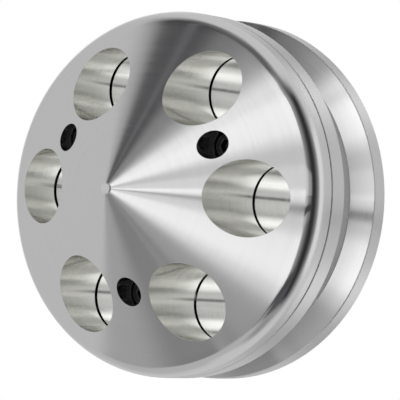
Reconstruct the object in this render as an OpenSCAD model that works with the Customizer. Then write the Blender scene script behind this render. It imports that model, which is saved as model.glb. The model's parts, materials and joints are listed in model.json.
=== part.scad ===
// Smooth-faced flanged idler pulley for a supercharger belt drive.
// A pointed nose cover closes the front. The pulley runs on two sealed ball bearings,
// which a single bolt clamps to the engine through a rear standoff.
//
// The sub-parts are drawn along an axis that points out of the nose. The finished part
// lies along Y: the nose points to -Y, the bolt comes out towards +Y and +Z is up.
// The origin is on the spin axis, on the rear face of the standoff.

/* [Rim and belt channel] */
// Outside diameter of the rim and of the nose cover
rim_d = 76.2; // [76:0.1:80]
// Thickness of the front flange at its outside edge
front_flange_t = 4.9; // [4:0.1:5.4]
// Width of the belt channel at its mouth
channel_w = 12.4; // [11:0.1:13]
// Depth of the belt channel below the rim
channel_depth = 4.5; // [3:0.1:4.5]
// Slope of the channel's side walls from the face plane
channel_wall_angle = 33; // [5:0.5:36]
// Thickness of the rear flange at its outside edge
rear_flange_t = 4.3; // [3.5:0.1:6]
// Size of the broken edges on the rim
rim_edge = 0.25; // [0.1:0.05:0.5]

/* [Lightening holes] */
// Diameter of each large hole
hole_d = 15.7; // [12:0.1:15.8]
// Diameter of the circle that the large holes lie on
hole_circle_d = 50.4; // [50:0.1:51]
// Turn of the first large hole from the 3 o'clock position
hole_turn = -2.2; // [-3:0.1:0]

/* [Nose cover] */
// Slope of the cone from the face plane
cone_angle = 28.5; // [26:0.1:30]
// Radius of the round where the cone meets the rim
shoulder_r = 5; // [4:0.1:6]
// Straight length of the cover's rim behind the round
cover_rim_w = 1.9; // [1.5:0.1:3]
// Diameter of the short nib that the cone ends in
nib_d = 2.3; // [1.6:0.1:4]
// Length of the nib
nib_l = 0.5; // [0.3:0.1:1.5]
// Depth of the register that enters the pulley
register_depth = 3; // [2:0.1:3.2]
// Diameter of the register
register_d = 71.8; // [70:0.1:71.9]
// Diameter of the pocket that clears the bolt head
pocket_d = 30.6; // [30.2:0.1:31]
// Height of the pocket above the seam
pocket_h = 13; // [12.5:0.1:13.5]

/* [Cover screws] */
// Diameter of the circle that the screws lie on
screw_circle_d = 41.3; // [41:0.1:42]
// Thread diameter of a screw
screw_d = 3.5; // [3:0.1:3.6]
// Diameter of a screw head
screw_head_d = 5.7; // [5:0.1:5.8]
// Height of a screw head
screw_head_h = 3.5; // [3:0.1:4]
// Width across the flats of the hexagon socket
screw_socket_w = 2.8; // [2:0.1:3]
// Length of a screw below its head
screw_l = 15.9; // [14:0.1:17]
// Height of the screw seats above the seam
screw_seat_h = 5.5; // [4:0.1:7]

/* [Bearings] */
// Bore of each bearing
bearing_bore_d = 9.525; // [9.525:0.001:9.6]
// Outside diameter of each bearing
bearing_d = 22.225; // [22:0.005:22.3]
// Width of each bearing
bearing_w = 7.14; // [7:0.01:7.2]
// Distance between the two bearings
bearing_gap = 6; // [4:0.1:6.5]
// Number of balls in each bearing
ball_count = 7; // [6:1:8]
// Ball diameter
ball_d = 3.969; // [3.8:0.001:3.97]

/* [Mounting bolt] */
// Thread diameter of the bolt
bolt_d = 9.525; // [9.5:0.005:9.525]
// Length of the bolt below its head
bolt_l = 50.8; // [44:0.1:60]
// Width across the flats of the bolt head
bolt_head_w = 14.3; // [13:0.1:15]
// Height of the bolt head
bolt_head_h = 6.1; // [5:0.1:7]
// Length of the standoff behind the pulley
standoff_l = 6.35; // [4:0.05:12]
// Diameter of the standoff
standoff_d = 18; // [14:0.1:19]

/* [Hidden] */
$fn = 96;

// Overshoot of a cutter past the face that it cuts
cut = 1;
// Open seam between the cover's rim and the pulley's rim
seam_w = 0.3;
// Gap between the register and the web, bridged by pads round the screws
web_gap = 1;
pad_r = 3.4;
// Play between the register and its bore in the rim
register_play = 0.1;

rim_r = rim_d / 2;
hole_count = 6;
hole_r = hole_d / 2;
hole_circle_r = hole_circle_d / 2;

// The three screws lie halfway between large holes
screw_count = 3;
screw_turn = hole_turn + 180 / hole_count;
screw_circle_r = screw_circle_d / 2;
counterbore_d = screw_head_d + 0.14;
screw_hole_d = screw_d + 0.4;
tapped_hole_d = screw_d + 0.06;
tapped_depth = 9;

// Heights along the axis, measured forward from the cover's rim
web_front = -(register_depth + web_gap);
front_flange_back = -(seam_w + front_flange_t);
rear_flange_front = front_flange_back - channel_w;
pulley_back = rear_flange_front - rear_flange_t;
mount_face = pulley_back - standoff_l;

// Hub and bearing seats
lip_t = 1.5;
lip_r = 9.9;
seat_r = bearing_d / 2;
rear_bearing_back = pulley_back + lip_t;
front_bearing_back = rear_bearing_back + bearing_w + bearing_gap;
front_bearing_front = front_bearing_back + bearing_w;
hub_nose_r = 14.5;
hub_front = 2;
hub_back_r = 17;
hub_edge = 0.4;
// Shallow recess turned into the rear face, inside the rim's land
rear_land_w = 3.4;
rear_recess = 0.8;

// Retaining ring
ring_t = 1.07;
ring_w = 1.9;
ring_gap_angle = 40;
ring_groove_r = 11.9;
ring_groove_w = 1.1;

// Broken edge where the channel meets the rear flange: its radial width, and its slope
// from the face plane
channel_edge_w = 0.2;
channel_edge_angle = 38;

// Spacers, and the bolt stack in front of the bearings
outer_spacer_bore_r = 9.85;
front_spacer_t = 1.5;
flat_washer_t = 1.65;
flat_washer_r = 10.3;
lock_washer_t = 2.4;
lock_washer_r = 8.6;
washer_bore_r = 5;
flat_washer_back = front_bearing_front + front_spacer_t;
lock_washer_back = flat_washer_back + flat_washer_t;
bolt_seat = lock_washer_back + lock_washer_t;

// Bearing section
inner_land_r = 6.25;
outer_land_r = 9.65;
pitch_r = (bearing_bore_d + bearing_d) / 4;
ball_r = ball_d / 2;
ball_play = 0.06;
race_groove_r = ball_r + ball_play;
seal_t = 0.5;
seal_recess = 0.2;
seal_seat_r = 9.95;
seal_gap = 0.05;
cage_in_r = 7.05;
cage_out_r = 8.85;
cage_foot = 1.3;
cage_back = 2.7;
cage_play = 0.04;
cage_pocket_r = ball_r + cage_play;

// Repeats its children evenly round a circle
module around(count, radius, turn = 0) {
    for (i = [0 : count - 1])
        rotate(turn + i * 360 / count) translate([radius, 0, 0]) children();
}

// Plain ring between two heights
module ring(inner_r, outer_r, back, front) {
    translate([0, 0, back])
        difference() {
            cylinder(r = outer_r, h = front - back);
            translate([0, 0, -cut]) cylinder(r = inner_r, h = front - back + 2 * cut);
        }
}

// Lays a sub-part along Y, with the mounting face at the origin
module placed() {
    rotate([90, 0, 0]) translate([0, 0, -mount_face]) children();
}

// Cutters for the large holes, from one height to another
module large_holes(back, front) {
    around(hole_count, hole_circle_r, hole_turn)
        translate([0, 0, back]) cylinder(r = hole_r, h = front - back);
}

// ---- nose cover ----

// Heights over the seam of the sharp cone's point, and of the nib's foot and end
shoulder_x = rim_r - shoulder_r;
cone_apex = cover_rim_w + shoulder_r / cos(cone_angle) + shoulder_x * tan(cone_angle);
nib_r = nib_d / 2;
nib_foot = cone_apex - nib_r * tan(cone_angle);
nib_end = nib_foot + nib_l;
nib_edge = 0.1;

// Half section of the cover without its holes: flats as a polygon, the shoulder as a true circle
module cover_section() {
    polygon([
        [0, 0],
        [rim_r, 0],
        [rim_r, cover_rim_w],
        [shoulder_x + shoulder_r * sin(cone_angle), cover_rim_w + shoulder_r * cos(cone_angle)],
        [nib_r, nib_foot],
        [nib_r, nib_end - nib_edge],
        [nib_r - nib_edge, nib_end],
        [0, nib_end]
    ]);
    intersection() {
        translate([shoulder_x, cover_rim_w]) circle(r = shoulder_r);
        square([rim_r, cone_apex]);
    }
}

module nose_cover() {
    color("silver")
        difference() {
            union() {
                rotate_extrude() cover_section();
                translate([0, 0, -register_depth]) cylinder(d = register_d, h = register_depth + cut);
                around(screw_count, screw_circle_r, screw_turn)
                    translate([0, 0, web_front]) cylinder(r = pad_r, h = web_gap + cut);
            }
            translate([0, 0, web_front - cut]) cylinder(d = pocket_d, h = pocket_h - web_front + cut);
            large_holes(web_front - cut, cone_apex);
            around(screw_count, screw_circle_r, screw_turn) {
                translate([0, 0, screw_seat_h]) cylinder(d = counterbore_d, h = cone_apex);
                translate([0, 0, web_front - cut])
                    cylinder(d = screw_hole_d, h = screw_seat_h + 2 * cut - web_front);
            }
        }
}

// Socket head cap screw, drawn on the axis with its head seated at height 0
module socket_screw() {
    socket_depth = 0.55 * screw_head_h;
    head_edge = 0.3;
    tip_edge = 0.5;
    difference() {
        union() {
            cylinder(d = screw_head_d, h = screw_head_h - head_edge);
            translate([0, 0, screw_head_h - head_edge])
                cylinder(d1 = screw_head_d, d2 = screw_head_d - 2 * head_edge, h = head_edge);
            translate([0, 0, tip_edge - screw_l]) cylinder(d = screw_d, h = screw_l);
            translate([0, 0, -screw_l])
                cylinder(d1 = screw_d - 2 * tip_edge, d2 = screw_d, h = tip_edge);
        }
        translate([0, 0, screw_head_h - socket_depth])
            cylinder(d = screw_socket_w / cos(30), h = socket_depth + cut, $fn = 6);
    }
}

module cover_screw(index) {
    color("dimgray")
        rotate(screw_turn + (index - 1) * 360 / screw_count)
            translate([screw_circle_r, 0, screw_seat_h]) socket_screw();
}

// ---- pulley body ----

// Half section of the rim, web and hub. The belt channel's side walls lean outwards.
module pulley_section() {
    floor_r = rim_r - channel_depth;
    lean = channel_depth * tan(channel_wall_angle);
    rim_front = -seam_w;
    register_r = register_d / 2 + register_play;
    recess_back = pulley_back + rear_recess;
    edge_front = rear_flange_front + channel_edge_w * tan(channel_wall_angle);
    edge_back = edge_front - channel_edge_w * tan(channel_edge_angle);
    difference() {
        polygon([
            [seat_r, pulley_back + lip_t],
            [seat_r, hub_front],
            [hub_nose_r - hub_edge, hub_front],
            [hub_nose_r, hub_front - hub_edge],
            [hub_nose_r, web_front],
            [register_r, web_front],
            [register_r, rim_front],
            [rim_r - rim_edge, rim_front],
            [rim_r, rim_front - rim_edge],
            [rim_r, front_flange_back + rim_edge],
            [rim_r - rim_edge, front_flange_back],
            [floor_r, front_flange_back - lean],
            [floor_r, rear_flange_front + lean],
            [rim_r - channel_edge_w, edge_front],
            [rim_r, edge_back],
            [rim_r, pulley_back + 2 * rim_edge],
            [rim_r - 2 * rim_edge, pulley_back],
            [rim_r - rear_land_w, pulley_back],
            [rim_r - rear_land_w - rear_recess, recess_back],
            [hub_back_r + rear_recess, recess_back],
            [hub_back_r, pulley_back],
            [lip_r + hub_edge, pulley_back],
            [lip_r, pulley_back + hub_edge],
            [lip_r, pulley_back + lip_t]
        ]);
        translate([seat_r - cut, front_bearing_front])
            square([ring_groove_r - seat_r + cut, ring_groove_w]);
    }
}

module pulley_body() {
    color("silver")
        difference() {
            rotate_extrude() pulley_section();
            large_holes(pulley_back - cut, web_front + cut);
            around(screw_count, screw_circle_r, screw_turn)
                translate([0, 0, web_front - tapped_depth])
                    cylinder(d = tapped_hole_d, h = tapped_depth + cut);
        }
}

// ---- bearings ----

// Each bearing is drawn with its middle plane at height 0
module outer_race() {
    seal_step = seal_t + seal_recess;
    color("lightgray")
        rotate_extrude()
            difference() {
                translate([outer_land_r, -bearing_w / 2])
                    square([seat_r - outer_land_r, bearing_w]);
                translate([pitch_r, 0]) circle(r = race_groove_r);
                for (back = [-bearing_w / 2, bearing_w / 2 - seal_step])
                    translate([outer_land_r - cut, back])
                        square([seal_seat_r - outer_land_r + cut, seal_step]);
            }
}

module inner_race() {
    color("lightgray")
        rotate_extrude()
            difference() {
                translate([bearing_bore_d / 2, -bearing_w / 2])
                    square([inner_land_r - bearing_bore_d / 2, bearing_w]);
                translate([pitch_r, 0]) circle(r = race_groove_r);
            }
}

module balls() {
    color("gainsboro") around(ball_count, pitch_r, 90) sphere(r = ball_r);
}

// Crown cage: the balls snap in from the front, and a ring joins the fingers behind them
module cage() {
    color("darkkhaki")
        difference() {
            ring(cage_in_r, cage_out_r, -cage_back, cage_foot);
            around(ball_count, pitch_r, 90) sphere(r = cage_pocket_r);
        }
}

// Side is 1 for the seal at the front of a bearing and -1 for the one at the back
module seal(side) {
    middle = side * (bearing_w / 2 - seal_recess - seal_t / 2);
    color("firebrick")
        ring(inner_land_r + seal_gap, seal_seat_r, middle - seal_t / 2, middle + seal_t / 2);
}

module in_front_bearing() {
    translate([0, 0, front_bearing_back + bearing_w / 2]) children();
}

module in_rear_bearing() {
    translate([0, 0, rear_bearing_back + bearing_w / 2]) children();
}

// ---- spacers, ring and bolt ----

// Internal retaining ring with two lugs for the pliers, open at the bottom
module retaining_ring() {
    ring_r = ring_groove_r - 0.1;
    half_gap = ring_gap_angle / 2;
    lug_r = 1.5;
    lug_hole_r = 0.7;
    color("dimgray")
        translate([0, 0, front_bearing_front])
            difference() {
                union() {
                    difference() {
                        cylinder(r = ring_r, h = ring_t);
                        translate([0, 0, -cut]) cylinder(r = ring_r - ring_w, h = ring_t + 2 * cut);
                        translate([0, 0, -cut])
                            linear_extrude(ring_t + 2 * cut)
                                polygon([
                                    [0, 0],
                                    2 * ring_r * [-sin(half_gap), -cos(half_gap)],
                                    2 * ring_r * [sin(half_gap), -cos(half_gap)]
                                ]);
                    }
                    at_ring_lugs(ring_r - ring_w, half_gap) cylinder(r = lug_r, h = ring_t);
                }
                at_ring_lugs(ring_r - ring_w, half_gap)
                    translate([0, 0, -cut]) cylinder(r = lug_hole_r, h = ring_t + 2 * cut);
            }
}

// Places its children at the two lugs, just inside the ring on each side of its gap
module at_ring_lugs(inner_r, half_gap) {
    lug_angle = half_gap + 8;
    for (side = [-1, 1])
        rotate(-90 + side * lug_angle) translate([inner_r - 0.2, 0, 0]) children();
}

module outer_spacer() {
    color("slategray")
        ring(outer_spacer_bore_r, seat_r, rear_bearing_back + bearing_w, front_bearing_back);
}

module inner_spacer() {
    color("slategray")
        ring(bearing_bore_d / 2, inner_land_r, rear_bearing_back + bearing_w, front_bearing_back);
}

module front_spacer() {
    color("slategray")
        ring(bearing_bore_d / 2, inner_land_r, front_bearing_front, flat_washer_back);
}

module flat_washer() {
    color("lightsteelblue")
        ring(washer_bore_r, flat_washer_r, flat_washer_back, lock_washer_back);
}

// Split spring washer, drawn as it lies when the bolt is tight
module lock_washer() {
    split_w = 0.8;
    split_slant = 25;
    color("lightsteelblue")
        difference() {
            ring(washer_bore_r, lock_washer_r, lock_washer_back, bolt_seat);
            translate([0, 0, lock_washer_back + lock_washer_t / 2])
                rotate([split_slant, 0, 0])
                    translate([0, -split_w / 2, -lock_washer_t])
                        cube([2 * lock_washer_r, split_w, 2 * lock_washer_t]);
        }
}

// Hexagon bolt. Its grip is a running fit in the bearings. A relief neck, hidden in the
// standoff, parts the grip from the thread.
module mounting_bolt() {
    grip_r = bolt_d / 2 - 0.04;
    neck_r = 4.2;
    neck_front = mount_face + 1.2;
    tip = bolt_seat - bolt_l;
    tip_edge = 1;
    // The cone that rounds off the head's corners, at its top and at its foot
    crown_r = bolt_head_w / 2 - 0.1;
    crown_foot_r = crown_r + bolt_head_h / tan(30);
    color("dimgray") {
        intersection() {
            translate([0, 0, bolt_seat])
                cylinder(d = bolt_head_w / cos(30), h = bolt_head_h, $fn = 6);
            translate([0, 0, bolt_seat])
                cylinder(r1 = crown_foot_r, r2 = crown_r, h = bolt_head_h);
        }
        translate([0, 0, neck_front]) cylinder(r = grip_r, h = bolt_seat - neck_front + cut);
        translate([0, 0, mount_face - cut]) cylinder(r = neck_r, h = neck_front - mount_face + 2 * cut);
        translate([0, 0, tip + tip_edge]) cylinder(d = bolt_d, h = mount_face - tip - tip_edge);
        translate([0, 0, tip]) cylinder(d1 = bolt_d - 2 * tip_edge, d2 = bolt_d, h = tip_edge);
    }
}

// Stepped standoff: its narrow nose bears on the rear bearing's inner race only
module rear_standoff() {
    nose_l = 1;
    edge = 0.5;
    shoulder = rear_bearing_back - nose_l;
    color("slategray")
        rotate_extrude()
            polygon([
                [bearing_bore_d / 2, mount_face],
                [standoff_d / 2 - edge, mount_face],
                [standoff_d / 2, mount_face + edge],
                [standoff_d / 2, shoulder - edge],
                [standoff_d / 2 - edge, shoulder],
                [inner_land_r, shoulder],
                [inner_land_r, rear_bearing_back],
                [bearing_bore_d / 2, rear_bearing_back]
            ]);
}

placed() nose_cover();
placed() pulley_body();
placed() cover_screw(1);  // cover_screw_1
placed() cover_screw(2);  // cover_screw_2
placed() cover_screw(3);  // cover_screw_3
placed() retaining_ring();
placed() outer_spacer();
placed() inner_spacer();
placed() front_spacer();
placed() flat_washer();
placed() lock_washer();
placed() mounting_bolt();
placed() rear_standoff();
placed() in_front_bearing() outer_race();  // front_bearing_outer_race
placed() in_front_bearing() inner_race();  // front_bearing_inner_race
placed() in_front_bearing() balls();  // front_bearing_balls
placed() in_front_bearing() cage();  // front_bearing_cage
placed() in_front_bearing() seal(1);  // front_bearing_front_seal
placed() in_front_bearing() seal(-1);  // front_bearing_rear_seal
placed() in_rear_bearing() outer_race();  // rear_bearing_outer_race
placed() in_rear_bearing() inner_race();  // rear_bearing_inner_race
placed() in_rear_bearing() balls();  // rear_bearing_balls
placed() in_rear_bearing() cage();  // rear_bearing_cage
placed() in_rear_bearing() seal(1);  // rear_bearing_front_seal
placed() in_rear_bearing() seal(-1);  // rear_bearing_rear_seal
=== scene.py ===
import json
import math

import bmesh
import bpy
from mathutils import Matrix, Vector


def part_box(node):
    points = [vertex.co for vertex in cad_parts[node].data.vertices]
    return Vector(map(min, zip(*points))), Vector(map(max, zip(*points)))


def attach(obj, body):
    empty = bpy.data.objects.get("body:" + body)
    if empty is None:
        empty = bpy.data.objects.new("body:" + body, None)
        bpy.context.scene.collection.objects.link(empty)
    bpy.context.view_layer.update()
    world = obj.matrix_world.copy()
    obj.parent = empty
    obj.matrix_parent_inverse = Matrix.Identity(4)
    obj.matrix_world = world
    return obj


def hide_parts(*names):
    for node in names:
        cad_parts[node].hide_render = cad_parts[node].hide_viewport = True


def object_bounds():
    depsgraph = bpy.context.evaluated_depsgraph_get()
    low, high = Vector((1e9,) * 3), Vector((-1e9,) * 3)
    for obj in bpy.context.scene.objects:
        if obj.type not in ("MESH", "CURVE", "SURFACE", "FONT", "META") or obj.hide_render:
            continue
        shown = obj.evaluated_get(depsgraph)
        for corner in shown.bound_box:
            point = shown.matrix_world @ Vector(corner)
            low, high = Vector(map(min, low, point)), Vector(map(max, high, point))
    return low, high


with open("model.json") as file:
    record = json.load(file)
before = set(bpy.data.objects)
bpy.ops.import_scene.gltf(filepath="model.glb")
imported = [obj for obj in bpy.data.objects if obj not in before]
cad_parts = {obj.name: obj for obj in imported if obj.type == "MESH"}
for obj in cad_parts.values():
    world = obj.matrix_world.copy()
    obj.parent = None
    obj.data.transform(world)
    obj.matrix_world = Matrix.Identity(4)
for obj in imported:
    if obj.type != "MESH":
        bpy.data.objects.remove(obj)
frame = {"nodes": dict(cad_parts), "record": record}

# Looks of a flanged aluminium idler pulley with a pointed nose cover, on a single bolt.
# Row frame: the nose points to -Y, the bolt to +Y and +Z is up. The spin axis is Y, through
# the origin, which lies in the rear face of the standoff. Lengths are in metres.

CAD_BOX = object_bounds()
MM = 0.001
PER_MM = 1 / MM
INCH = 25.4 * MM
TURN = 2 * math.pi

RIM_R = CAD_BOX[1].x
# Slope of the cover's cone, from the plane of its rim
CONE_ANGLE = math.radians(28.5)
# Pattern of the large holes round the spin axis
HOLE_COUNT, HOLE_R, HOLE_CIRCLE_R, HOLE_TURN = 6, 7.85 * MM, 25.2 * MM, math.radians(-2.2)
# The seam between the cover and the pulley, which starts behind the front of the hub
HUB_PROUD, SEAM_W = 2 * MM, 0.3 * MM
SEAM_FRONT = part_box("pulley_body")[0].y + HUB_PROUD
# The belt channel, in front of the rear flange
CHANNEL_DEPTH, CHANNEL_W, REAR_FLANGE_T = 4.5 * MM, 12.4 * MM, 4.3 * MM
CHANNEL_FLOOR_R = RIM_R - CHANNEL_DEPTH
CHANNEL_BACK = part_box("pulley_body")[1].y - REAR_FLANGE_T
CHANNEL_FRONT = CHANNEL_BACK - CHANNEL_W

scene = bpy.context.scene
scene.view_settings.view_transform = "Standard"


# ---- camera ----

# Where the camera stands, in degrees and metres, and the length of its lens in millimetres
VIEW_AZIMUTH, VIEW_ELEVATION, VIEW_ROLL = 33.555, -2.076, 2.236
VIEW_DISTANCE = 0.6957
VIEW_LENS = 300.7
# The middle of the picture, to the right of the seam's centre and below it
AIM_RIGHT, AIM_UP = 5.33 * MM, -1.07 * MM


def add_camera():
    """Looks at the nose from its right, a little from below, with the camera tipped slightly."""
    azimuth, elevation, roll = map(math.radians, (VIEW_AZIMUTH, VIEW_ELEVATION, VIEW_ROLL))
    seam = Vector((0, SEAM_FRONT, 0))
    back = Vector((math.sin(azimuth) * math.cos(elevation),
                   -math.cos(azimuth) * math.cos(elevation), math.sin(elevation)))
    level_right = Vector((0, 0, 1)).cross(back).normalized()
    level_up = back.cross(level_right)
    right = level_right * math.cos(roll) + level_up * math.sin(roll)
    up = back.cross(right)
    place = seam + back * VIEW_DISTANCE
    backward = (place - seam - right * AIM_RIGHT - up * AIM_UP).normalized()
    sideways = up.cross(backward).normalized()
    camera = bpy.data.objects.new("camera", bpy.data.cameras.new("camera"))
    camera.data.lens = VIEW_LENS
    camera.data.sensor_width = 36
    camera.data.clip_end = 20
    turn = Matrix((sideways, backward.cross(sideways), backward)).transposed()
    camera.matrix_world = Matrix.Translation(place) @ turn.to_4x4()
    scene.collection.objects.link(camera)
    scene.camera = camera


# ---- node graphs ----

class Graph:
    """Short calls that add nodes to a tree. Most of them return the new node's output."""

    def __init__(self, tree):
        self.tree = tree
        tree.nodes.clear()

    def node(self, kind, inputs=(), **settings):
        made = self.tree.nodes.new(kind)
        for name, value in settings.items():
            setattr(made, name, value)
        for socket, value in dict(inputs).items():
            self.feed(made.inputs[socket], value)
        return made

    def feed(self, socket, value):
        if isinstance(value, bpy.types.NodeSocket):
            self.tree.links.new(value, socket)
        else:
            socket.default_value = value

    def math(self, operation, *values):
        return self.node("ShaderNodeMath", enumerate(values), operation=operation).outputs[0]

    def vector(self, operation, *values):
        made = self.node("ShaderNodeVectorMath", enumerate(values), operation=operation)
        return made.outputs["Value" if operation in ("LENGTH", "DOT_PRODUCT") else "Vector"]

    def times(self, first, *others):
        for other in others:
            first = self.math("MULTIPLY", first, other)
        return first

    def hypotenuse(self, a, b):
        return self.math("SQRT", self.math("ADD", self.times(a, a), self.times(b, b)))

    def split(self, vector):
        return self.node("ShaderNodeSeparateXYZ", {0: vector}).outputs[:3]

    def join(self, x, y, z):
        return self.node("ShaderNodeCombineXYZ", {0: x, 1: y, 2: z}).outputs[0]

    def smooth(self, value, low, high, to_low=0.0, to_high=1.0):
        """Soft step: to_low while value is under low, to_high once it is over high."""
        return self.node("ShaderNodeMapRange",
                         {0: value, 1: low, 2: high, 3: to_low, 4: to_high},
                         interpolation_type="SMOOTHSTEP").outputs[0]

    def blend(self, share, a, b):
        """Number that is a at share 0 and b at share 1."""
        return self.node("ShaderNodeMix", {0: share, 2: a, 3: b}).outputs[0]

    def mix(self, share, a, b):
        """Colour that is a at share 0 and b at share 1."""
        return self.node("ShaderNodeMix", {0: share, 6: a, 7: b}, data_type="RGBA").outputs[2]

    def noise(self, vector, scale, detail=2.0, roughness=0.5):
        return self.node("ShaderNodeTexNoise",
                         {"Vector": vector, "Scale": scale, "Detail": detail, "Roughness": roughness}
                         ).outputs[0]

    def spread(self, noise, to_low=0.0, to_high=1.0):
        """Stretches a noise, from the range where most of its values lie to the range given."""
        low, high = 0.3, 0.7
        return self.node("ShaderNodeMapRange",
                         {0: noise, 1: low, 2: high, 3: to_low, 4: to_high}).outputs[0]


def grey(level, warmth=0.0):
    """Colour with less blue the warmer it is. Below 0, warmth makes it cool."""
    return (level, level, level * (1 - warmth), 1.0)


# ---- light ----

# The studio round the part, by direction. Each patch has its sides (degrees round from the nose,
# positive towards +X), how soft they are, its heights (degrees over the horizon), how soft those
# are, and its brightness. Later ones lie over earlier ones, and all lie over an even grey.
STUDIO_GREY = 0.60
STUDIO = [
    # walls and table
    ((-118, -46), 30, (-62, 62), 24, 0.53),
    ((-120, 108), 60, (-82, -40), 16, 0.47),
    ((-72, 28), 12, (-54, -34), 6, 0.37),     # dark cloth on the table
    ((-46, 28), 24, (-54, -34), 6, 0.225),
    ((-14, 14), 6, (-56, -46), 6, 0.38),      # gaps in the cloth
    ((-4, 16), 8, (-47, -32), 8, 0.33),
    # dark card above the nose
    ((-78, 46), 56, (50, 72), 10, 0.12),
    ((-78, 46), 56, (60, 84), 30, 0.12),
    ((-65, -50), 5, (37, 54), 6, 0.38),
    ((-53, 22), 7, (42, 55), 8, 0.12),
    ((-60, -24), 12, (45, 63), 6, 0.07),
    ((-43, -38), 3, (44, 60), 4, 0.13),
    ((-28, 4), 16, (43, 51), 8, 0.28),        # light that comes past it
    ((26, 55), 6, (46, 55), 6, 0.30),
    # large softbox beside the camera, with its folds
    ((-10, 40), 14, (-30, 41), 15, 1.02),
    ((-10, 40), 8, (-11, 22), 4, 0.80),
    ((-10, 40), 8, (12, 19), 3, 0.64),
    ((-10, 40), 8, (0.2, 4.0), 1.5, 1.20),
    ((-10, 40), 8, (-3.0, -0.9), 1.0, 0.45),
    ((15, 40), 6, (37, 47), 5, 0.34),
    # grey flag at the softbox's edge, and a black one behind it
    ((29, 75), 4, (-34, 44), 8, 0.52),
    ((42, 97), 50, (-56, 58), 18, 0.03),
    ((18, 64), 8, (-45, -31), 8, 0.07),
    ((35, 66), 8, (-56, -42), 8, 0.09),
    ((40, 92), 40, (-76, -56), 12, 0.30),
    # light between the flags, and the camera
    ((26, 50), 3, (3, 12.5), 3, 0.62),
    ((44, 60), 12, (3, 12.5), 3, 0.34),
    ((26, 48), 3, (-9, 2.5), 3, 0.46),
    ((44, 58), 12, (-9, 2.5), 3, 0.20),
    ((26, 60), 3, (-4.8, -1.6), 1.2, 0.05),
    # tall lamp behind the part, towards -X
    ((-152, -118), 20, (-8, 28), 12, 1.00),
    # behind the part: grey sheets, two bright strips and a dark line
    ((100, 150), 14, (-34, 34), 16, 0.74),
    ((156, 180), 8, (-42, 42), 14, 0.38),
    ((-180, -166), 12, (-42, 42), 14, 0.24),
    ((150, 180), 10, (24, 39), 6, 1.38),
    ((148, 180), 10, (-32, -18), 6, 1.34),
    ((175, 180), 4, (-16, 16), 8, 0.62),
    ((-180, -175), 4, (-16, 16), 8, 0.62),
    ((138, 160), 6, (-7.2, -2.6), 1.6, 0.06),
]
# Patches darker than this look cool, and black ones the most
COOL_UP_TO, COOLNESS = 0.20, 0.08


def patch_colour(level):
    return grey(level, -COOLNESS * max(0.0, 1 - level / COOL_UP_TO))


def patch_share(g, side, height, sides, side_soft, heights, height_soft):
    """1 in a patch and 0 outside it. Sides that lie straight behind the part have no edge."""
    share = 1.0
    for value, (start, end), soft in ((side, sides, side_soft), (height, heights, height_soft)):
        if start > -180:
            share = g.times(share, g.smooth(value, start - soft / 2, start + soft / 2))
        if end < 180:
            share = g.times(share, g.smooth(value, end - soft / 2, end + soft / 2, 1.0, 0.0))
    return share


def build_world():
    """The studio, as the metal mirrors it. The background itself is white."""
    world = bpy.data.worlds.new("studio")
    scene.world = world
    world.use_nodes = True
    g = Graph(world.node_tree)
    x, y, z = g.split(g.node("ShaderNodeTexCoord").outputs["Generated"])
    side = g.math("DEGREES", g.math("ARCTAN2", x, g.times(y, -1.0)))
    height = g.math("DEGREES", g.math("ARCSINE", z))
    light = grey(STUDIO_GREY)
    for *extent, level in STUDIO:
        light = g.mix(patch_share(g, side, height, *extent), light, patch_colour(level))
    seen = g.node("ShaderNodeLightPath").outputs["Is Camera Ray"]
    background = g.node("ShaderNodeBackground", {"Color": g.mix(seen, light, grey(1.0))})
    g.node("ShaderNodeOutputWorld", {"Surface": background.outputs[0]})


def add_overhead_light():
    """Lights the floor. It doesn't show in the metal, which mirrors the studio alone."""
    lamp = bpy.data.lights.new("overhead", "AREA")
    lamp.shape = "DISK"
    lamp.size = 0.5
    lamp.energy = 6
    overhead = bpy.data.objects.new("overhead", lamp)
    overhead.location = (-0.25, -0.25, 0.9)
    overhead.rotation_euler = (-overhead.location).to_track_quat("-Z", "Y").to_euler()
    overhead.visible_glossy = False
    scene.collection.objects.link(overhead)


FLOOR_DROP = 52 * MM
FLOOR_R = 1.6
# Shares of its radius over which the floor fades to white
WHITE_START, WHITE_END = 0.5, 0.98


def add_floor():
    """Pale round floor under the part, fading to white at its edge."""
    mesh = bpy.data.meshes.new("floor")
    bm = bmesh.new()
    bmesh.ops.create_circle(bm, cap_ends=True, segments=96, radius=FLOOR_R)
    bm.to_mesh(mesh)
    bm.free()
    floor = bpy.data.objects.new("floor", mesh)
    floor.location = (0, 0, CAD_BOX[0][2] - FLOOR_DROP)
    floor.visible_glossy = False
    scene.collection.objects.link(floor)
    material = bpy.data.materials.new("pale_floor")
    material.use_nodes = True
    g = Graph(material.node_tree)
    point = g.node("ShaderNodeTexCoord").outputs["Object"]
    paint = g.mix(g.noise(point, scale=9.0, detail=3.0), grey(0.86), grey(0.89))
    surface = g.node("ShaderNodeBsdfPrincipled",
                     {"Base Color": paint, "Roughness": 0.7, "Specular IOR Level": 0.2}).outputs[0]
    white = g.node("ShaderNodeEmission", {"Color": grey(1.0)}).outputs[0]
    far = g.smooth(g.vector("LENGTH", point), WHITE_START * FLOOR_R, WHITE_END * FLOOR_R)
    shown = g.node("ShaderNodeMixShader", {0: far, 1: surface, 2: white}).outputs[0]
    g.node("ShaderNodeOutputMaterial", {"Surface": shown})
    mesh.materials.append(material)


# ---- surfaces ----

# How much a tool mark changes over a radian, where it changes by 1 over a millimetre across it
ALONG_MARK = 0.35
# How well the rounded normal agrees with the true one, on a sharp edge and on a flat
ON_EDGE, ON_FLAT = 0.90, 0.995
# How well the mesh's normal agrees with a perfect cone's, beside the cone and on it
OFF_CONE, ON_CONE = 0.988, 0.998
# Share of the bright edge tone on an edge, where it paints both wear and a highlight
EDGE_WEAR_AND_HIGHLIGHT = 0.5


def start_material(name):
    material = bpy.data.materials.new(name)
    material.use_nodes = True
    return material, Graph(material.node_tree)


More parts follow.
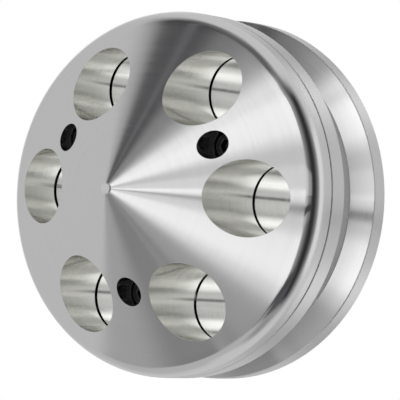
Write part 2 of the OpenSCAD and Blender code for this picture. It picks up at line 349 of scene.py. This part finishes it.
def groove_direction(g):
    """Direction of the tool marks: round whichever axis parallel to Y the surface was cut about."""
    geometry = g.node("ShaderNodeNewGeometry").outputs
    axis = (0.0, 1.0, 0.0)
    about_own_axis = g.vector("CROSS_PRODUCT", geometry["Normal"], axis)
    about_spin_axis = g.vector("CROSS_PRODUCT", geometry["Position"], axis)
    return g.vector("ADD", about_own_axis, about_spin_axis)


def polar(g):
    """Radius from the spin axis, height along it and angle round it, on the part at rest."""
    x, y, z = g.split(g.node("ShaderNodeTexCoord").outputs["Object"])
    return g.hypotenuse(x, z), y, g.math("ARCTAN2", z, x)


def ring_marks(g, radius, height, angle):
    """Fine and broad tool marks that run round the spin axis."""
    rings = g.join(g.times(radius, PER_MM), g.times(height, PER_MM), g.times(angle, ALONG_MARK))
    fine = g.noise(rings, scale=4.0, detail=3.0, roughness=0.6)
    return fine, g.noise(rings, scale=0.9)


def about_pattern(g, radius, angle, count, circle_r, turn):
    """Distance from the nearest of a ring of hole axes, and the angle round it."""
    step = TURN / count
    share = g.math("DIVIDE", g.math("SUBTRACT", angle, turn), step)
    local = g.times(g.math("SUBTRACT", share, g.math("ROUND", share)), step)
    along = g.math("SUBTRACT", g.times(radius, g.math("COSINE", local)), circle_r)
    across = g.times(radius, g.math("SINE", local))
    return g.hypotenuse(along, across), g.math("ARCTAN2", across, along)


def worn_and_highlit_edges(g, paint, edge_r, edge_tone):
    """The paint with brighter edges, part wear and part painted highlight, and the normal with its
    edges rounded to a small radius.
    """
    normal = g.node("ShaderNodeNewGeometry").outputs["Normal"]
    rounded = g.node("ShaderNodeBevel", {"Radius": edge_r}, samples=6).outputs[0]
    agreement = g.vector("DOT_PRODUCT", rounded, normal)
    wear_and_highlight = g.smooth(agreement, ON_EDGE, ON_FLAT, 1.0, 0.0)
    # Edges brightened: part wear, part painted highlight
    return g.mix(g.times(wear_and_highlight, EDGE_WEAR_AND_HIGHLIGHT), paint, edge_tone), rounded


def true_cone(g, normal):
    """The normal of a perfect cone where the surface is one, else the normal given."""
    x, _, z = g.split(g.node("ShaderNodeNewGeometry").outputs["Position"])
    outward = g.vector("NORMALIZE", g.join(x, 0.0, z))
    exact = g.vector("NORMALIZE", g.vector("ADD", outward, (0.0, -1 / math.tan(CONE_ANGLE), 0.0)))
    on_cone = g.smooth(g.vector("DOT_PRODUCT", normal, exact), OFF_CONE, ON_CONE)
    return g.node("ShaderNodeMix", {0: on_cone, 4: normal, 5: exact}, data_type="VECTOR").outputs[1]


# ---- bare aluminium ----

FACE_TONES = grey(0.84), grey(0.88)
WALL_TONES = grey(0.64, 0.05), grey(0.92, 0.04)
# Painted shade in the belt channel: its tone at the channel's floor, and at the rim
CHANNEL_SHADE_TONES = grey(0.78), grey(0.98)
# Painted shade in the seam, and the bright edge tone, which is part wear and part painted highlight
SEAM_SHADE_TONE, ALUMINIUM_EDGE_TONE = grey(0.04), grey(0.92)
ALUMINIUM_EDGE_R = 0.07 * MM
MARK_DEPTH = 0.0012 * MM

FACE_ROUGHNESS, WALL_ROUGHNESS = (0.11, 0.15), (0.16, 0.26)
RIM_ROUGHNESS, CHANNEL_FLOOR_ROUGHNESS = 0.40, 0.55
# Roughness of the cover's shoulder, as a share of its cone's
SHOULDER_ROUGHNESS = 0.6
# Height of the marks in the holes, as a share of those outside
BORE_MARK_HEIGHT = 0.4
# Share of the marks that run round a hole in its wall's tone. The rest is bands along it.
BORE_MARK_SHARE = 0.45

# How far under the rim the seam is painted with shade
SEAM_SHADE_DEPTH = 2 * MM
# Where one finish gives way to the next, and where the seam's painted shade ends: beyond the seam
# and the holes' walls, under the rim and over the channel's floor
SEAM_FADE = 0.12 * MM
HOLE_FADE_START, HOLE_FADE_END = 0.02 * MM, 0.06 * MM
RIM_FADE_START, RIM_FADE_END = 0.30 * MM, 0.04 * MM
SHOULDER_FADE_START, SHOULDER_FADE_END = 4 * MM, 2 * MM
CHANNEL_FADE_START, CHANNEL_FADE_END = 0.05 * MM, 0.25 * MM
# How far the channel's painted shade and finish reach under its floor
CHANNEL_MARGIN = 0.1 * MM


def at_hole_wall(g, radius, angle):
    """1 in the large holes and 0 outside them, and the angle round the nearest one."""
    distance, hole_angle = about_pattern(g, radius, angle, HOLE_COUNT, HOLE_CIRCLE_R, HOLE_TURN)
    in_hole = g.smooth(distance, HOLE_R + HOLE_FADE_START, HOLE_R + HOLE_FADE_END, 1.0, 0.0)
    return in_hole, hole_angle


def bored_noise(g, hole_angle, height, per_radian, per_mm, layer):
    """Noise on a hole's wall, drawn out along whichever way it changes least."""
    place = g.join(g.times(hole_angle, per_radian), g.times(height, per_mm * PER_MM), layer)
    return g.noise(place, scale=1.0, detail=3.0, roughness=0.6)


def at_seam_shade(g, radius, height):
    """1 where shade is painted into the seam between the cover and the pulley."""
    past_cover = g.smooth(height, SEAM_FRONT - SEAM_FADE, SEAM_FRONT)
    seam_back = SEAM_FRONT + SEAM_W
    before_flange = g.smooth(height, seam_back, seam_back + SEAM_FADE, 1.0, 0.0)
    near_rim = g.math("GREATER_THAN", radius, RIM_R - SEAM_SHADE_DEPTH)
    return g.times(past_cover, before_flange, near_rim)


def at_channel(g, radius, height):
    """1 in the belt channel, and 1 on its floor alone."""
    outside_web = g.math("GREATER_THAN", radius, CHANNEL_FLOOR_R - CHANNEL_MARGIN)
    behind_front = g.math("GREATER_THAN", height, CHANNEL_FRONT)
    before_back = g.math("LESS_THAN", height, CHANNEL_BACK)
    in_channel = g.times(outside_web, behind_front, before_back)
    near_floor = g.smooth(radius, CHANNEL_FLOOR_R + CHANNEL_FADE_START,
                          CHANNEL_FLOOR_R + CHANNEL_FADE_END, 1.0, 0.0)
    return in_channel, g.times(in_channel, near_floor)


def outside_roughness(g, radius, height, on_floor, fine_marks):
    """Smooth faces, a smoother shoulder on the cover, and dull rims and channel floor."""
    near_rim = g.smooth(radius, RIM_R - SHOULDER_FADE_START, RIM_R - SHOULDER_FADE_END)
    on_shoulder = g.times(near_rim, g.math("LESS_THAN", height, SEAM_FRONT))
    smooth_faces = g.times(g.spread(fine_marks, *FACE_ROUGHNESS),
                           g.blend(on_shoulder, 1.0, SHOULDER_ROUGHNESS))
    on_rim = g.smooth(radius, RIM_R - RIM_FADE_START, RIM_R - RIM_FADE_END)
    dull_places = g.math("MAXIMUM", g.times(on_rim, RIM_ROUGHNESS),
                         g.times(on_floor, CHANNEL_FLOOR_ROUGHNESS))
    return g.math("MAXIMUM", smooth_faces, dull_places)


def turned_aluminium():
    """Bare billet aluminium: fine concentric tool marks outside, bored marks in the holes."""
    material, g = start_material("turned_aluminium")
    radius, height, angle = polar(g)
    fine_marks, broad_marks = ring_marks(g, radius, height, angle)
    in_hole, hole_angle = at_hole_wall(g, radius, angle)
    bore_marks = bored_noise(g, hole_angle, height, per_radian=0.9, per_mm=3.2, layer=0.0)
    bore_bands = bored_noise(g, hole_angle, height, per_radian=2.2, per_mm=0.02, layer=3.0)
    in_channel, on_floor = at_channel(g, radius, height)

    wall_tone = g.spread(g.blend(BORE_MARK_SHARE, bore_bands, bore_marks))
    paint = g.mix(in_hole, g.mix(broad_marks, *FACE_TONES), g.mix(wall_tone, *WALL_TONES))
    # Painted shade: the seam between the cover and the pulley is painted dark
    paint = g.mix(at_seam_shade(g, radius, height), paint, SEAM_SHADE_TONE)
    # Painted shade: the channel is darker towards its floor, where the front flange shades it, and
    # lighter towards the rim
    channel_shade = g.mix(g.smooth(radius, CHANNEL_FLOOR_R, RIM_R), *CHANNEL_SHADE_TONES)
    paint = g.mix(in_channel, paint, channel_shade)
    # Brighter edges: part wear, part painted highlight
    paint, rounded = worn_and_highlit_edges(g, paint, ALUMINIUM_EDGE_R, ALUMINIUM_EDGE_TONE)

    roughness = g.blend(in_hole, outside_roughness(g, radius, height, on_floor, fine_marks),
                        g.spread(bore_marks, *WALL_ROUGHNESS))
    marks = g.blend(in_hole, fine_marks, g.times(bore_marks, BORE_MARK_HEIGHT))
    bump = g.node("ShaderNodeBump", {"Height": marks, "Normal": true_cone(g, rounded),
                                     "Strength": 1.0, "Distance": MARK_DEPTH}).outputs[0]
    shader = g.node("ShaderNodeBsdfPrincipled",
                    {"Base Color": paint, "Metallic": 1.0, "Roughness": roughness,
                     "Anisotropic": 0.8, "Anisotropic Rotation": 0.25,
                     "Tangent": groove_direction(g), "Normal": bump})
    g.node("ShaderNodeOutputMaterial", {"Surface": shader.outputs[0]})
    return material


# ---- steel, rubber and nylon ----

# Bright edge tone of the steels: part wear, part painted highlight
STEEL_EDGE_R, STEEL_EDGE_TONE = 0.10 * MM, grey(0.80)
LATHE_MARK_DEPTH, GRAIN_DEPTH, SKIN_DEPTH = 0.0015 * MM, 0.0012 * MM, 0.02 * MM


def finish_metal(g, paint, roughness, marks, depth, **extra):
    """Shader of a steel: soft bright edges, part wear and part painted highlight, and marks of the
    given depth in its surface.
    """
    paint, rounded = worn_and_highlit_edges(g, paint, STEEL_EDGE_R, STEEL_EDGE_TONE)
    bump = g.node("ShaderNodeBump", {"Height": marks, "Normal": rounded, "Strength": 1.0,
                                     "Distance": depth}).outputs[0]
    shader = g.node("ShaderNodeBsdfPrincipled",
                    {"Base Color": paint, "Roughness": roughness, "Normal": bump, **extra})
    g.node("ShaderNodeOutputMaterial", {"Surface": shader.outputs[0]})


def around(roughness):
    """The least and the most roughness of a steel, round its usual one."""
    return 0.85 * roughness, 1.15 * roughness


def turned_steel(name, dark, light, roughness, anisotropic):
    """Steel cut or ground on a lathe, with marks round the spin axis."""
    material, g = start_material(name)
    fine_marks, broad_marks = ring_marks(g, *polar(g))
    paint = g.mix(broad_marks, grey(dark), grey(light))
    gloss = g.spread(fine_marks, *around(roughness))
    finish_metal(g, paint, gloss, fine_marks, LATHE_MARK_DEPTH,
                 **{"Metallic": 1.0, "Anisotropic": anisotropic, "Anisotropic Rotation": 0.25,
                    "Tangent": groove_direction(g)})
    return material


def coated_steel(name, dark, light, roughness, metallic=1.0, warmth=0.0):
    """Plated, blacked or polished steel, with a fine even grain and a cloudy tone."""
    material, g = start_material(name)
    point = g.node("ShaderNodeTexCoord").outputs["Object"]
    grain = g.noise(point, scale=3000.0, detail=3.0, roughness=0.6)
    clouds = g.noise(point, scale=220.0, detail=3.0)
    paint = g.mix(clouds, grey(dark, warmth), grey(light, warmth))
    gloss = g.spread(grain, *around(roughness))
    finish_metal(g, paint, gloss, grain, GRAIN_DEPTH, Metallic=metallic)
    return material


def moulded(name, colour, dark, roughness):
    """Moulded rubber or nylon: mottled colour and a fine matt skin."""
    material, g = start_material(name)
    point = g.node("ShaderNodeTexCoord").outputs["Object"]
    grain = g.noise(point, scale=2500.0, detail=3.0)
    paint = g.mix(g.noise(point, scale=300.0), colour, dark)
    bump = g.node("ShaderNodeBump", {"Height": grain, "Strength": 0.6,
                                     "Distance": SKIN_DEPTH}).outputs[0]
    matt = g.spread(grain, 0.8 * roughness, roughness)
    shader = g.node("ShaderNodeBsdfPrincipled",
                    {"Base Color": paint, "Roughness": matt, "Normal": bump})
    g.node("ShaderNodeOutputMaterial", {"Surface": shader.outputs[0]})
    return material


def build_materials():
    """One material for each material slot of the record."""
    nylon, dark_nylon = (0.55, 0.47, 0.30, 1), (0.45, 0.38, 0.24, 1)
    return {
        "turned_aluminium": turned_aluminium(),
        "black_oxide_steel": coated_steel("black_oxide_steel", dark=0.006, light=0.014,
                                          roughness=0.36, metallic=0.6, warmth=0.10),
        "machined_steel": turned_steel("machined_steel", dark=0.46, light=0.56,
                                       roughness=0.26, anisotropic=0.7),
        "zinc_plated_steel": coated_steel("zinc_plated_steel", dark=0.62, light=0.74,
                                          roughness=0.24, warmth=-0.03),
        "bearing_steel": turned_steel("bearing_steel", dark=0.58, light=0.62,
                                      roughness=0.16, anisotropic=0.6),
        "bearing_ball_steel": coated_steel("bearing_ball_steel", dark=0.74, light=0.76,
                                           roughness=0.06),
        "cage_polymer": moulded("cage_polymer", nylon, dark_nylon, roughness=0.5),
        "seal_rubber": moulded("seal_rubber", grey(0.05), grey(0.03), roughness=0.6),
    }


# ---- threaded fasteners ----

SEGMENTS = 96
SHARP_ANGLE = math.radians(25)
# Points closer than this become one
SAME_POINT = 0.001 * MM
# Corners of a thread's outline: the share of the pitch and the share of the depth of each
THREAD_OUTLINE = ((0, 0), (1 / 8, 0), (0.479, 1), (0.646, 1))
# Depth of a thread, as a share of its pitch
THREAD_DEPTH = 0.6134


def at(value, angle):
    """A value that may depend on the angle."""
    return value(angle) if callable(value) else value


def add_row(bm, axis, radius, y):
    """A ring of vertices about an axis parallel to Y. Radius and y may depend on the angle."""
    row = []
    for column in range(SEGMENTS):
        angle = TURN * column / SEGMENTS
        r = at(radius, angle)
        row.append(bm.verts.new((axis.x + r * math.cos(angle), at(y, angle),
                                 axis.z + r * math.sin(angle))))
    return row


def skin(bm, rows, climb=0):
    """Faces between rows. On a helix the last column meets the first one climb rows on."""
    for row in range(len(rows) - 1):
        for column in range(SEGMENTS):
            following = (column + 1) % SEGMENTS
            far = row if following else row + climb
            if far + 1 < len(rows):
                bm.faces.new((rows[row][column], rows[row + 1][column],
                              rows[far + 1][following], rows[far][following]))


def thread_rows(bm, axis, major_r, pitch, start, start_r, end, end_r):
    """Rows that climb along a thread, from a ring at start to a chamfered ring at end."""
    depth = THREAD_DEPTH * pitch
    # The rows start a turn early and end late, so that the thread runs out at both its ends
    spare_turns = 3
    rows = []
    for turn in range(math.ceil((end - start) / pitch) + spare_turns):
        for share, cut in THREAD_OUTLINE:
            def y(angle):
                climbed = turn - 1 + share + angle / TURN
                return min(max(start + climbed * pitch, start), end)

            def radius(angle):
                if y(angle) <= start:
                    return start_r
                return min(major_r - cut * depth, end_r + end - y(angle))

            rows.append(add_row(bm, axis, radius, y))
    return rows


def hexagon(across_flats):
    """Radius of a hexagon at an angle, with a corner at angle 0."""
    side = TURN / 6
    return lambda angle: across_flats / 2 / math.cos(angle % side - side / 2)


def add_fastener(name, node, body, slot, materials, head, thread):
    """A bolt or screw of one closed skin: the rings of its head and shank, then its thread."""
    low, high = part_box(node)
    axis = (low + high) / 2
    bm = bmesh.new()
    skin(bm, [add_row(bm, axis, radius, y) for radius, y in head])
    threaded = thread_rows(bm, axis, **thread)
    skin(bm, threaded, len(THREAD_OUTLINE))
    skin(bm, [threaded[-1], add_row(bm, axis, 0, thread["end"])])
    bmesh.ops.remove_doubles(bm, verts=bm.verts, dist=SAME_POINT)
    bmesh.ops.recalc_face_normals(bm, faces=bm.faces)
    mesh = bpy.data.meshes.new(name)
    bm.to_mesh(mesh)
    bm.free()
    mesh.shade_smooth()
    mesh.set_sharp_from_angle(angle=SHARP_ANGLE)
    mesh.materials.append(materials[slot])
    piece = bpy.data.objects.new(name, mesh)
    scene.collection.objects.link(piece)
    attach(piece, body)
    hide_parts(node)


def add_mounting_bolt(materials):
    """3/8 inch, 16 threads to the inch. Its relief neck is hidden in the standoff."""
    top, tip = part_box("mounting_bolt")[0].y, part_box("mounting_bolt")[1].y
    standoff_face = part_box("rear_standoff")[1].y
    seat = top + 6.1 * MM
    thread_r, tip_r = 3 / 8 * INCH / 2, 3.7 * MM
    grip_r = thread_r - 0.04 * MM
    neck_r, neck_l = 4.2 * MM, 1.2 * MM
    corner_r = hexagon(14.3 * MM)
    crown_r, crown_slope = 7.05 * MM, math.tan(math.radians(30))
    head = [
        (0, top),
        (crown_r, top),
        (corner_r, lambda angle: top + (corner_r(angle) - crown_r) * crown_slope),
        (corner_r, seat),
        (grip_r, seat),
        (grip_r, standoff_face - neck_l),
        (neck_r, standoff_face - neck_l),
        (neck_r, standoff_face),
    ]
    thread = {"major_r": thread_r, "pitch": INCH / 16, "start": standoff_face,
              "start_r": neck_r, "end": tip, "end_r": tip_r}
    add_fastener("threaded_mounting_bolt", "mounting_bolt", "spindle", "zinc_plated_steel",
                 materials, head, thread)


def add_cover_screws(materials):
    """Size 6 socket head cap screws, 32 threads to the inch, with knurled heads."""
    screw_count = 3
    head_r, head_h, head_edge = 2.85 * MM, 3.5 * MM, 0.3 * MM
    knurl_teeth, knurl_depth = SEGMENTS / 2, 0.06 * MM
    socket_w, socket_edge, socket_depth = 2.8 * MM, 0.08 * MM, 0.55 * head_h
    drill_r, drill_depth = socket_w / 2 - 0.1 * MM, 0.6 * MM
    shank_r, plain_l, tip_r = 1.75 * MM, 3 * MM, 1.2 * MM
    socket_r, mouth_r = hexagon(socket_w), hexagon(socket_w + 2 * socket_edge)

    def knurl_r(angle):
        return head_r - knurl_depth * (0.5 - 0.5 * math.cos(knurl_teeth * angle))

    for index in range(1, screw_count + 1):
        node = f"cover_screw_{index}"
        top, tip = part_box(node)[0].y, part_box(node)[1].y
        seat = top + head_h
        socket_floor = top + socket_depth
        head = [
            (0, socket_floor + drill_depth),
            (drill_r, socket_floor),
            (socket_r, socket_floor),
            (socket_r, top + socket_edge),
            (mouth_r, top),
            (head_r - head_edge, top),
            (knurl_r, top + head_edge),
            (knurl_r, seat - head_edge),
            (head_r - knurl_depth, seat),
            (shank_r, seat),
            (shank_r, seat + plain_l),
        ]
        thread = {"major_r": shank_r, "pitch": INCH / 32, "start": seat + plain_l,
                  "start_r": shank_r, "end": tip, "end_r": tip_r}
        add_fastener(f"knurled_cover_screw_{index}", node, "pulley", "black_oxide_steel",
                     materials, head, thread)


# ---- the CAD pieces ----

# Gap between points that meet at the pole of a ball or of a ball's pocket
POLE_GAP = 0.0002 * MM


def close_pole(node):
    """Joins the points that almost meet at a pole."""
    weld = frame["nodes"][node].modifiers.new("closed_pole", "WELD")
    weld.merge_threshold = POLE_GAP


def dress_frame(materials):
    """Gives each CAD node the material of its slot, and closes the balls and the cages."""
    for part in frame["record"]["subparts"]:
        mesh = frame["nodes"][part["node"]].data
        mesh.materials.clear()
        mesh.materials.append(materials[part["material_slot"]])
    for bearing in ("front_bearing", "rear_bearing"):
        close_pole(f"{bearing}_balls")
        close_pole(f"{bearing}_cage")


add_camera()
build_world()
add_overhead_light()
add_floor()
all_materials = build_materials()
dress_frame(all_materials)
add_mounting_bolt(all_materials)
add_cover_screws(all_materials)
